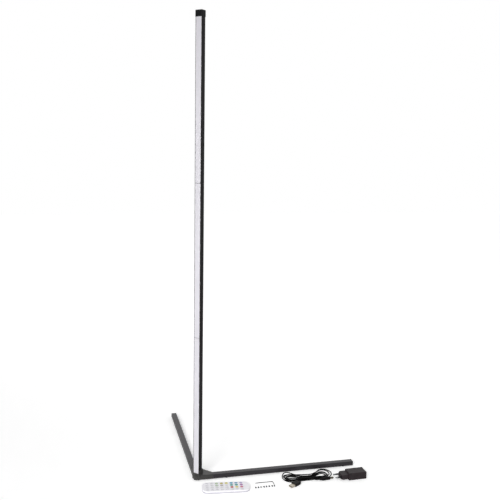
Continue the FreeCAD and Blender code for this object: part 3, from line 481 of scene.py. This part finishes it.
def white_abs(name, dark, light):
    """Handset shell: glossy mould finish gone satin with handling."""
    material, tree = new_material(name)
    finish(tree, grain(tree, ABS_GRAIN_MM), ABS_DEPTH_MM, IOR=1.5,
           Base_Color=clouded(tree, ABS_CLOUD_MM, dark, light),
           Roughness=graded_grain(tree, ABS_WEAR_MM, gives=ABS_ROUGHNESS),
           Subsurface_Weight=0.05, Subsurface_Radius=ABS_SCATTER, Subsurface_Scale=1.0)
    return material


def pigmented_silicone(name, code):
    """A key cap: one pigment, slightly cloudy, with a fine matt skin."""
    material, tree = new_material(name)
    base = linear(code)
    deeper = [c * PIGMENT_DEPTH for c in base[:3]] + [1.0]
    finish(tree, grain(tree, SILICONE_GRAIN_MM), SILICONE_DEPTH_MM, Roughness=0.5, IOR=1.43,
           Base_Color=clouded(tree, SILICONE_CLOUD_MM, deeper, base))
    return material


dress(white_abs("white_abs_cover", "#efeef3", "#f5f4f8"), "remote_cover")
# The lower shell's greyer colour is painted shade, for the contact shadow along the handset's foot.
dress(white_abs("white_abs_base_painted_shade", "#bdbbc4", "#c8c6cf"), "remote_base")
dress(pigmented_silicone("grey_silicone_domes", "#8c8c8c"), "remote_key_mat")
key_finish = {name: pigmented_silicone(name + "_silicone", code) for name, code in KEY_COLOURS.items()}
key_slot = {s["node"]: s["material_slot"] for s in frame["record"]["subparts"]
            if s["node"].startswith("key_")}
for slot_name in sorted(set(key_slot.values())):
    dress(key_finish[slot_name], *[key for key, its_slot in key_slot.items() if its_slot == slot_name])
print("keys:", len(key_slot), "in", len(set(key_slot.values())), "colours")

# %% [markdown]
# ## Pieces that are half metal and half plastic
# A plug is a black grip round a metal end, in one node. Its faces could be sorted into two
# slots, but the model's mesh is left alone. The change from one to the other is a plane square to
# the plug, so the material measures how far along the plug a point lies and switches there. A
# Mapping node turns Object coordinates so that their X runs along the plug.

# %% Two-part finishes
USB_BACK = Vector((260.0, -79.6, 4.0)) * MM
USB_HEADING = -146.0
USB_GRIP_MM = 23.0
BARREL_BACK = Vector((327.5, -76.8, 4.5)) * MM
BARREL_HEADING = 4.0
BARREL_GRIP_MM = 22.0
ADAPTER_PLACE = Vector((397.8, -76.9, 0.0)) * MM
ADAPTER_HEADING = 2.0
PIN_TIP_END_MM = -30.5
BLACK_GRIP = ("#070606", "#0c0a0b")
WARM_NICKEL = ("#b8b0a2", "#cfc7b8")
DULL_NICKEL = ("#6d675c", "#857e72")
BRIGHT_NICKEL = ("#9b9da0", "#b4b6b9")
GRIP_ROUGHNESS, METAL_ROUGHNESS = 0.5, 0.3
GRIP_CLOUD_MM = 2.5
GRIP_GRAIN_MM, GRIP_DEPTH_MM = 0.5, 0.012


def two_part(name, origin, heading_deg, switch_mm, metal, metal_first=False):
    """Black moulded grip on one side of a plane across the piece, and metal on the other."""
    material, tree = new_material(name)
    place = add(tree, "ShaderNodeTexCoord").outputs["Object"]
    moved = add(tree, "ShaderNodeMapping", {"Vector": place, "Location": [-c for c in origin]})
    turned = add(tree, "ShaderNodeMapping",
                 {"Vector": moved.outputs["Vector"], "Rotation": (0, 0, -math.radians(heading_deg))})
    along = add(tree, "ShaderNodeSeparateXYZ", {"Vector": turned.outputs["Vector"]}).outputs["X"]
    is_metal = add(tree, "ShaderNodeMath", {0: along, 1: switch_mm * MM},
                   operation="LESS_THAN" if metal_first else "GREATER_THAN").outputs[0]
    colour = add(tree, "ShaderNodeMix", {0: is_metal, 6: clouded(tree, GRIP_CLOUD_MM, *BLACK_GRIP),
                                         7: clouded(tree, GRIP_CLOUD_MM, *metal)}, data_type="RGBA").outputs[2]
    rough = add(tree, "ShaderNodeMix", {0: is_metal, 2: GRIP_ROUGHNESS, 3: METAL_ROUGHNESS}).outputs[0]
    finish(tree, grain(tree, GRIP_GRAIN_MM), GRIP_DEPTH_MM, Base_Color=colour, Metallic=is_metal,
           Roughness=rough, Specular_IOR_Level=0.15)
    return material


dress(two_part("usb_grip_and_shell", USB_BACK, USB_HEADING, USB_GRIP_MM, WARM_NICKEL), "usb_plug")
dress(two_part("barrel_grip_and_tip", BARREL_BACK, BARREL_HEADING, BARREL_GRIP_MM, DULL_NICKEL), "barrel_plug")
dress(two_part("pin_tips_and_sleeves", ADAPTER_PLACE, ADAPTER_HEADING, PIN_TIP_END_MM, BRIGHT_NICKEL,
               metal_first=True), "adapter_pins")

# %% [markdown]
# The battery tray is white plastic with a round steel cell in it. No plane parts the two, so
# here the switch is the distance from the cell's own upright axis.

# %% Tray and cell
REMOTE_PLACE = Vector((63.0, -69.5, 0.0)) * MM
REMOTE_HEADING = -6.7
REMOTE_HALF_LENGTH_MM = 63.0
TRAY_LENGTH_MM = 25.0
CELL_OFF_CENTRE_MM = 0.3
CELL_AHEAD_MM = REMOTE_HALF_LENGTH_MM - TRAY_LENGTH_MM / 2 - CELL_OFF_CENTRE_MM
CELL_RADIUS_MM = 10.05
TRAY_CLOUD_MM = 4.0
TRAY_ROUGHNESS, CELL_ROUGHNESS = 0.42, 0.28


def on_remote(ahead_mm, aside_mm):
    """A point of the handset's floor plan, measured along it and across it, in the frame."""
    turn = math.radians(REMOTE_HEADING)
    x = ahead_mm * math.cos(turn) - aside_mm * math.sin(turn)
    y = ahead_mm * math.sin(turn) + aside_mm * math.cos(turn)
    return REMOTE_PLACE + Vector((x, y, 0)) * MM


def tray_with_cell():
    """White tray; a steel coin cell inside a circle round the cell's axis."""
    material, tree = new_material("white_tray_and_steel_cell")
    centre = on_remote(CELL_AHEAD_MM, 0)
    place = add(tree, "ShaderNodeTexCoord").outputs["Object"]
    flat = add(tree, "ShaderNodeVectorMath", {0: place, 1: (1, 1, 0)}, operation="MULTIPLY")
    away = add(tree, "ShaderNodeVectorMath", {0: flat.outputs[0], 1: (centre.x, centre.y, 0)},
               operation="DISTANCE")
    is_cell = add(tree, "ShaderNodeMath", {0: away.outputs["Value"], 1: CELL_RADIUS_MM * MM},
                  operation="LESS_THAN").outputs[0]
    colour = add(tree, "ShaderNodeMix", {0: is_cell, 6: clouded(tree, TRAY_CLOUD_MM, "#dcdbdf", "#e5e4e8"),
                                         7: clouded(tree, TRAY_CLOUD_MM, "#a9aaac", "#bfc0c2")},
                 data_type="RGBA").outputs[2]
    rough = add(tree, "ShaderNodeMix", {0: is_cell, 2: TRAY_ROUGHNESS, 3: CELL_ROUGHNESS}).outputs[0]
    finish(tree, grain(tree, ABS_GRAIN_MM), ABS_DEPTH_MM, Base_Color=colour, Metallic=is_cell, Roughness=rough)
    return material


dress(tray_with_cell(), "battery_tray")

# %% [markdown]
# ## A skin made of rings
# A Screw modifier could turn a profile round an axis, but not one whose radius changes on the way
# round, as a thread's does. So the small parts below are closed surfaces of another make: rings of
# points in a numpy grid, each ring joined to the next by four-sided faces. A fan closes each end
# onto one point; without end points the last ring joins the first, as on a doughnut. Rings are
# counted so that their turn, crossed with the step to the next ring, points out of the solid.

# %% Ring skins
RING_SIDES = 40
angle = np.linspace(0, 2 * math.pi, RING_SIDES, endpoint=False)


def rings(radii, heights):
    """A grid of rings about Z, (r cos a, r sin a, h), with a radius for each ring or each point."""
    heights = np.asarray(heights, float)[:, None] + 0 * angle
    radii = np.asarray(radii, float).reshape(len(heights), -1) + 0 * angle
    return np.stack([radii * np.cos(angle), radii * np.sin(angle), heights], axis=-1)


def skin(grid, start=None, end=None):
    """The points and the face tables of a closed skin over a grid of rings.

    A four-sided face joins points j and j + 1 of a ring to the same two of the next ring; a
    three-sided one joins an end point to points j and j + 1 of the ring beside it.
    """
    count, sides = grid.shape[:2]
    index = np.arange(count * sides).reshape(count, sides)
    this, after = (index, np.roll(index, -1, axis=0)) if start is None else (index[:-1], index[1:])
    quads = np.stack([this, np.roll(this, -1, axis=1), np.roll(after, -1, axis=1), after], axis=-1)
    points, tables = grid.reshape(-1, 3), [quads.reshape(-1, 4)]
    if start is not None:
        first, last = np.full(sides, count * sides), np.full(sides, count * sides + 1)
        tables += [np.stack([first, np.roll(index[0], -1), index[0]], axis=-1),
                   np.stack([last, index[-1], np.roll(index[-1], -1)], axis=-1)]
        points = np.concatenate([points, [start, end]])
    return points, tables


def lay_along(points, place, heading):
    """Lays points made about Z down, so that Z runs along a level heading from the place."""
    across = (-math.sin(heading), math.cos(heading), 0)
    ahead = (math.cos(heading), math.sin(heading), 0)
    return points @ np.array([across, (0, 0, 1), ahead]) + np.array(place)


def build(name, skins, material, body):
    """One object in metres from one or more skins in millimetres, carried by a body."""
    faces, base = [], 0
    for points, tables in skins:
        for table in tables:
            faces += (table + base).tolist()
        base += len(points)
    mesh = bpy.data.meshes.new(name)
    mesh.from_pydata((np.concatenate([points for points, _ in skins]) * MM).tolist(), [], faces)
    mesh.materials.append(material)
    made = bpy.data.objects.new(name, mesh)
    bpy.context.collection.objects.link(made)
    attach(made, body)
    return made


print("sides of each ring:", RING_SIDES)

# %% [markdown]
# ## Printing on the plain keys
# The white keys carry a thin printed ring and a small sign. The key's material could draw them,
# but a plate as thin as the ink keeps a sharp edge from close by. A sign is a flat petalled plate
# whose edge is r = s (1 + k cos(n a)): two petals make a bar, three a leaf, more a star.

# %% Printed keys
KEY_TOP_MM = 7.8
PRINT_MM = 0.03
RING_IN_MM, RING_OUT_MM = 3.45, 3.8
SIGN_MM, PETAL_SHARE = 1.1, 0.45
KEY_ROW_MM, KEY_COLUMN_MM = 12.9, 11.2
KEY_MARGIN_MM = 13.8
KEY_START_MM = KEY_MARGIN_MM - REMOTE_HALF_LENGTH_MM
KEY_COLUMNS = "abcd"
FEWEST_PETALS, KINDS_OF_SIGN, ROW_SHIFT = 2, 5, 3
INK_CLOUD_MM = 0.8


def print_ink():
    """Pad-printing ink: grey, matt, with a faint uneven coat."""
    material, tree = new_material("grey_pad_print")
    finish(tree, Base_Color=clouded(tree, INK_CLOUD_MM, "#b0b0b8", "#c0c0c7"), Roughness=0.6, IOR=1.5)
    return material


def printed_key(key, ink):
    """A ring and a sign, a hair proud of the key's top. The key's name gives its row and column.

    The sign changes by one kind along a row and by three from row to row.
    """
    row, column = int(key[4]) - 1, KEY_COLUMNS.index(key[5])
    place = on_remote(KEY_START_MM + row * KEY_ROW_MM,
                      (column - (len(KEY_COLUMNS) - 1) / 2) * KEY_COLUMN_MM) / MM
    low, high = KEY_TOP_MM - PRINT_MM, KEY_TOP_MM + PRINT_MM
    petals = FEWEST_PETALS + (ROW_SHIFT * row + column) % KINDS_OF_SIGN
    edge = SIGN_MM * (1 + PETAL_SHARE * np.cos(petals * angle))
    band = skin(rings([RING_IN_MM, RING_OUT_MM, RING_OUT_MM, RING_IN_MM], [low, low, high, high]))
    sign = skin(rings([edge, edge], [low, high]), start=(0, 0, low), end=(0, 0, high))
    moved = [(points + np.array([place.x, place.y, 0]), tables) for points, tables in (band, sign)]
    return build("print_" + key[4:], moved, ink, key + "_press")


ink = print_ink()
plain_keys = sorted(key for key, slot_name in key_slot.items() if slot_name == "key_white")
for key in plain_keys:
    printed_key(key, ink)
print("printed keys:", len(plain_keys))

# %% [markdown]
# ## Threaded set screws
# The model's spare screws are plain bars. A real one is an M3 thread of half a millimetre pitch
# with a hexagon socket. A bump would leave the outline smooth, so the ridges are in the mesh. The
# thread is a ridge that climbs one pitch per turn, so the radius depends on height less angle:
# r = R - d |2 frac(h / pitch - a / 2 pi) - 1|.

# %% Screws
SCREW_COUNT = 8
SCREW_START = (140.8, -78.9, 1.5)
SCREW_STEP_MM = 7.4
SCREW_RADIUS_MM, SCREW_LENGTH_MM, SCREW_BEVEL_MM = 1.5, 5.0, 0.3
THREAD_PITCH_MM, THREAD_DEPTH_MM, THREAD_RINGS = 0.5, 0.28, 60
SOCKET_MM, SOCKET_DEPTH_MM = 1.5, 2.25
SCREW_AIM_DEG, SWAY_DEG = -90, 12
SWAY_STEP, SWAY_START = 2.3, 0.6


def set_screw(place, heading):
    """A screw whose socket opens at the place and whose thread runs along the heading.

    The socket is a hexagon: r = half its width / cos(angle from the nearest flat's middle).
    """
    socket = SOCKET_MM / 2 / np.cos((angle + math.pi / 6) % (math.pi / 3) - math.pi / 6)
    rim = np.full(RING_SIDES, SCREW_RADIUS_MM - SCREW_BEVEL_MM)
    climb = np.linspace(SCREW_BEVEL_MM, SCREW_LENGTH_MM - SCREW_BEVEL_MM, THREAD_RINGS)
    wave = np.abs(2 * ((climb[:, None] / THREAD_PITCH_MM - angle / (2 * math.pi)) % 1) - 1)
    radii = np.vstack([socket, socket, rim, SCREW_RADIUS_MM - THREAD_DEPTH_MM * wave, rim])
    grid = rings(radii, [SOCKET_DEPTH_MM, 0, 0, *climb, SCREW_LENGTH_MM])
    points, tables = skin(grid, start=(0, 0, SOCKET_DEPTH_MM), end=(0, 0, SCREW_LENGTH_MM))
    return lay_along(points, place, heading), tables


def screw_heading(k):
    """Screws point towards -Y, each turned a little by a wave along the row, as if dropped there."""
    return math.radians(SCREW_AIM_DEG + SWAY_DEG * math.sin(SWAY_STEP * k + SWAY_START))


screw_skins = [set_screw((SCREW_START[0] + SCREW_STEP_MM * k, SCREW_START[1], SCREW_START[2]), screw_heading(k))
               for k in range(SCREW_COUNT)]
threaded = build("threaded_screws", screw_skins, black_oxide, "lamp")
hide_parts("spare_screws")
print("screws:", SCREW_COUNT, "with", round(SCREW_LENGTH_MM / THREAD_PITCH_MM), "turns of thread each")

# %% [markdown]
# ## Ribbed reliefs
# Where the lead enters a plug, the grip ends in a ribbed cone that keeps it from kinking. A ring
# for each rib would be so many loose pieces; a wave along the cone is one closed skin:
# r = cone + ridge (1 + cos(2 pi h / pitch)) / 2.

# %% Reliefs
RIB_PITCH_MM, RIB_MM, RIB_RINGS = 1.6, 0.45, 61
USB_RELIEF_MM, USB_RELIEF_RADII_MM = 5.0, (2.3, 3.3)
BARREL_RELIEF_MM, BARREL_RELIEF_RADII_MM = 8.0, (2.2, 3.4)


def ribbed_relief(name, back, heading_deg, length, radii):
    """A ribbed sleeve over a plug's relief, from the wire to the grip."""
    heights = np.linspace(-length, 0, RIB_RINGS)
    cone = np.interp(heights, [-length, 0], radii)
    ribs = RIB_MM * (1 + np.cos(2 * math.pi * heights / RIB_PITCH_MM)) / 2
    points, tables = skin(rings(cone + ribs, heights), start=(0, 0, -length), end=(0, 0, 0))
    laid = lay_along(points, back / MM, math.radians(heading_deg))
    return build(name, [(laid, tables)], relief_rubber, "lead")


relief_rubber = textured_plastic("black_relief_rubber", *BLACK_GRIP, 0.6, pit_mm=0.8, depth_mm=0.03, shine=0.2)
reliefs = [ribbed_relief("usb_relief", USB_BACK, USB_HEADING, USB_RELIEF_MM, USB_RELIEF_RADII_MM),
           ribbed_relief("barrel_relief", BARREL_BACK, BARREL_HEADING, BARREL_RELIEF_MM,
                         BARREL_RELIEF_RADII_MM)]
print("reliefs:", len(reliefs))

# %% [markdown]
# ## The lead
# The lead is 2.7 mm cable wound to and fro in a flat hank and drawn in at its waist. A simulation
# could let it fall, but not into the loops of the photo, so its route is worked out, for one curve
# from end to end. At the waist the strand starts at the outside, works its way in and goes out
# again, and it climbs onto the turns below at two places.

# %% The waist of the hank
LEAD_MM = 2.7
HANK_PLACE = Vector((288.0, -57.0, 0.0))
HANK_HEADING = math.radians(-7.5)
HALF_TURNS = 10
HANK_STEP_MM = 4.2
LAYER_MM = 3.3
CLIMBS = (5.1, 8.9)
WAIST_SHARE = 0.25


def reach_of(half_turn):
    """How far out of the waist's middle the strand lies, after a number of half turns.

    One step, times a quarter and half the half turns that lie between it and the middle one.
    """
    return HANK_STEP_MM * (WAIST_SHARE + abs(half_turn - HALF_TURNS / 2) / 2)


def level_of(half_turn):
    """Height of the strand's middle: half the cable, and a layer for each climb that is done."""
    return LEAD_MM / 2 + LAYER_MM * sum(half_turn > climb for climb in CLIMBS)


print("strands at the waist, mm:", [round(reach_of(h), 1) for h in range(HALF_TURNS + 1)])

# %% [markdown]
# One turn crosses the waist, swings out round the right end, comes back through the waist and
# swings round the left end. The photo shows how far each loop reaches, so each has its own
# numbers. Both ends have a near side, a tip and a far side.

# %% One turn
TOP_TUCK_MM = 2.4
LOBE_MM = 41.0
NEAR_SIDE, TIP, FAR_SIDE = 0.2, 0.5, 0.8
FAN_SHARE = 4 / 3
RIGHT_NEAR, RIGHT_FAR = (-6.1, -1.9, 2.3, 1.4, -2.8), (42.2, 27.7, 21.5, 25.6, 34.7)
RIGHT_END, RIGHT_CREST = (74.8, 61.9, 55.7, 58.5, 67.0), (27.0, 14.1, 11.9, 13.8, 19.6)
LEFT_NEAR, LEFT_FAR = (-19.6, -13.2, -13.0, -17.4, -12.0), (33.5, 10.6, 9.0, 15.0, 9.5)
LEFT_END = (-64.0, -56.8, -55.8, -59.8, -62.5)


def fan(run, rise):
    """The heading of a strand that left the waist level and has risen over a run: 4/3 its slope."""
    lean = math.atan2(rise, run) * FAN_SHARE
    return math.cos(lean), math.sin(lean)


def turn_guides(loop):
    """Places and headings of one turn: waist, near right, right end, far right, waist, and left.

    Each row is how many half turns are done, the place along and across the hank, and the heading.
    """
    turn = 2 * loop
    waist = reach_of(turn + 1) - (TOP_TUCK_MM if turn + 1 > CLIMBS[1] else 0)
    run, rise = fan(LOBE_MM, RIGHT_FAR[loop] - waist)
    guides = [(turn, 0, -reach_of(turn), (1, 0)),
              (turn + NEAR_SIDE, LOBE_MM, RIGHT_NEAR[loop], (1, 0)),
              (turn + TIP, RIGHT_END[loop], RIGHT_CREST[loop], (0, 1)),
              (turn + FAR_SIDE, LOBE_MM, RIGHT_FAR[loop], (-run, -rise)),
              (turn + 1, 0, waist, (-1, 0))]
    near, far = LEFT_NEAR[loop], LEFT_FAR[loop]
    run, rise = fan(LOBE_MM, far - waist)
    guides += [(turn + 1 + NEAR_SIDE, -LOBE_MM, far, (-run, rise)),
               (turn + 1 + TIP, LEFT_END[loop], (near + far) / 2, (0, -1)),
               (turn + 1 + FAR_SIDE, -LOBE_MM, near, (1, 0))]
    return [(Vector((x, y, level_of(done))), Vector((*heading, 0))) for done, x, y, heading in guides]


print("guide places of one turn:", len(turn_guides(0)))

# %% [markdown]
# The whole route leaves the USB plug straight, joins the first turn, goes round all of them and
# runs straight into the barrel plug.

# %% The whole route
JOIN = Vector((-7.0, -13.2, LEAD_MM / 2))
JOIN_HEADING = math.radians(16.0)


def level_heading(radians):
    """A level unit vector."""
    return Vector((math.cos(radians), math.sin(radians), 0))


def lead_guides():
    """Every guide place and heading from the USB plug to the barrel plug, in hank millimetres."""
    to_hank = Matrix.Rotation(-HANK_HEADING, 3, "Z")
    usb = level_heading(math.radians(USB_HEADING))
    barrel = level_heading(math.radians(BARREL_HEADING))
    start = to_hank @ (USB_BACK / MM - usb * USB_RELIEF_MM - HANK_PLACE)
    end = to_hank @ (BARREL_BACK / MM - barrel * BARREL_RELIEF_MM - HANK_PLACE)
    leave, arrive = to_hank @ -usb, to_hank @ barrel
    guides = [(start, leave), (start + leave * LEAD_MM, leave), (JOIN, level_heading(JOIN_HEADING))]
    for loop in range(HALF_TURNS // 2):
        guides += turn_guides(loop)
    guides.append((Vector((0, -reach_of(HALF_TURNS), level_of(HALF_TURNS))), level_heading(0)))
    return guides + [(end - arrive * LEAD_MM, arrive), (end, arrive)]


guides = lead_guides()
print("guide places of the lead:", len(guides))

# %% [markdown]
# A spline could go through its points, but then it swings out between them. A quadratic spline
# that its points only steer is tangent to the lines that join them. So each guide place gives two
# control points, one before and one after it along its heading.

# %% Control points
SAME_HEADING = 1e-9


def control_points(guides):
    """Two control points per gap: one ahead of a guide and one behind the next, equally far.

    That distance d makes the two points 2d apart, which is a quadratic equation in d.
    """
    points = [guides[0][0]]
    for (a, leave), (b, arrive) in zip(guides, guides[1:]):
        gap = b - a
        spread = 2 * (1 - leave.dot(arrive))
        lean = gap.dot(leave + arrive)
        if spread < SAME_HEADING:
            reach = gap.dot(gap) / (2 * lean)
        else:
            reach = (-lean + math.sqrt(lean * lean + spread * gap.dot(gap))) / spread
        points += [a + leave * reach, b - arrive * reach]
    return points + [guides[-1][0]]


print("control points of the lead:", len(control_points(guides)))

# %% [markdown]
# The cable itself is a round bevel on that curve, sheathed in soft black PVC: smooth and slightly
# shiny, with faint dull patches. Its length is that of the hank as wound.

# %% The lead as one curve
SPLINE_STEPS = 6
BEVEL_STEPS = 4
SHEATH_GRAIN_MM, SHEATH_DEPTH_MM = 1.2, 0.02
SHEATH_CLOUD_MM, SHEATH_WEAR_MM = 8.0, 4.0
SHEATH_ROUGHNESS = (0.42, 0.54)


def make_lead():
    """The lead as one NURBS curve from the barrel plug's relief to the USB plug's."""
    from_hank = Matrix.Rotation(HANK_HEADING, 3, "Z")
    route = [(from_hank @ p + HANK_PLACE) * MM for p in reversed(control_points(guides))]
    curve = bpy.data.curves.new("lead", "CURVE")
    curve.dimensions = "3D"
    spline = curve.splines.new("NURBS")
    spline.points.add(len(route) - 1)
    spline.points.foreach_set("co", [c for p in route for c in (*p, 1.0)])
    spline.order_u = 3
    spline.use_endpoint_u = True
    spline.resolution_u = SPLINE_STEPS
    curve.bevel_depth = LEAD_MM / 2 * MM
    curve.bevel_resolution = BEVEL_STEPS
    curve.use_fill_caps = True
    lead = bpy.data.objects.new("lead", curve)
    bpy.context.collection.objects.link(lead)
    return lead, route


def cable_sheath():
    """Soft black PVC: smooth and slightly shiny, with faint dull patches."""
    material, tree = new_material("black_pvc_sheath")
    finish(tree, grain(tree, SHEATH_GRAIN_MM), SHEATH_DEPTH_MM, IOR=1.53, Specular_IOR_Level=0.10,
           Base_Color=clouded(tree, SHEATH_CLOUD_MM, "#030303", "#070607"),
           Roughness=graded_grain(tree, SHEATH_WEAR_MM, gives=SHEATH_ROUGHNESS))
    return material


lead, lead_route = make_lead()
lead.data.materials.append(cable_sheath())
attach(lead, "lead")
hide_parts("lead_hank")
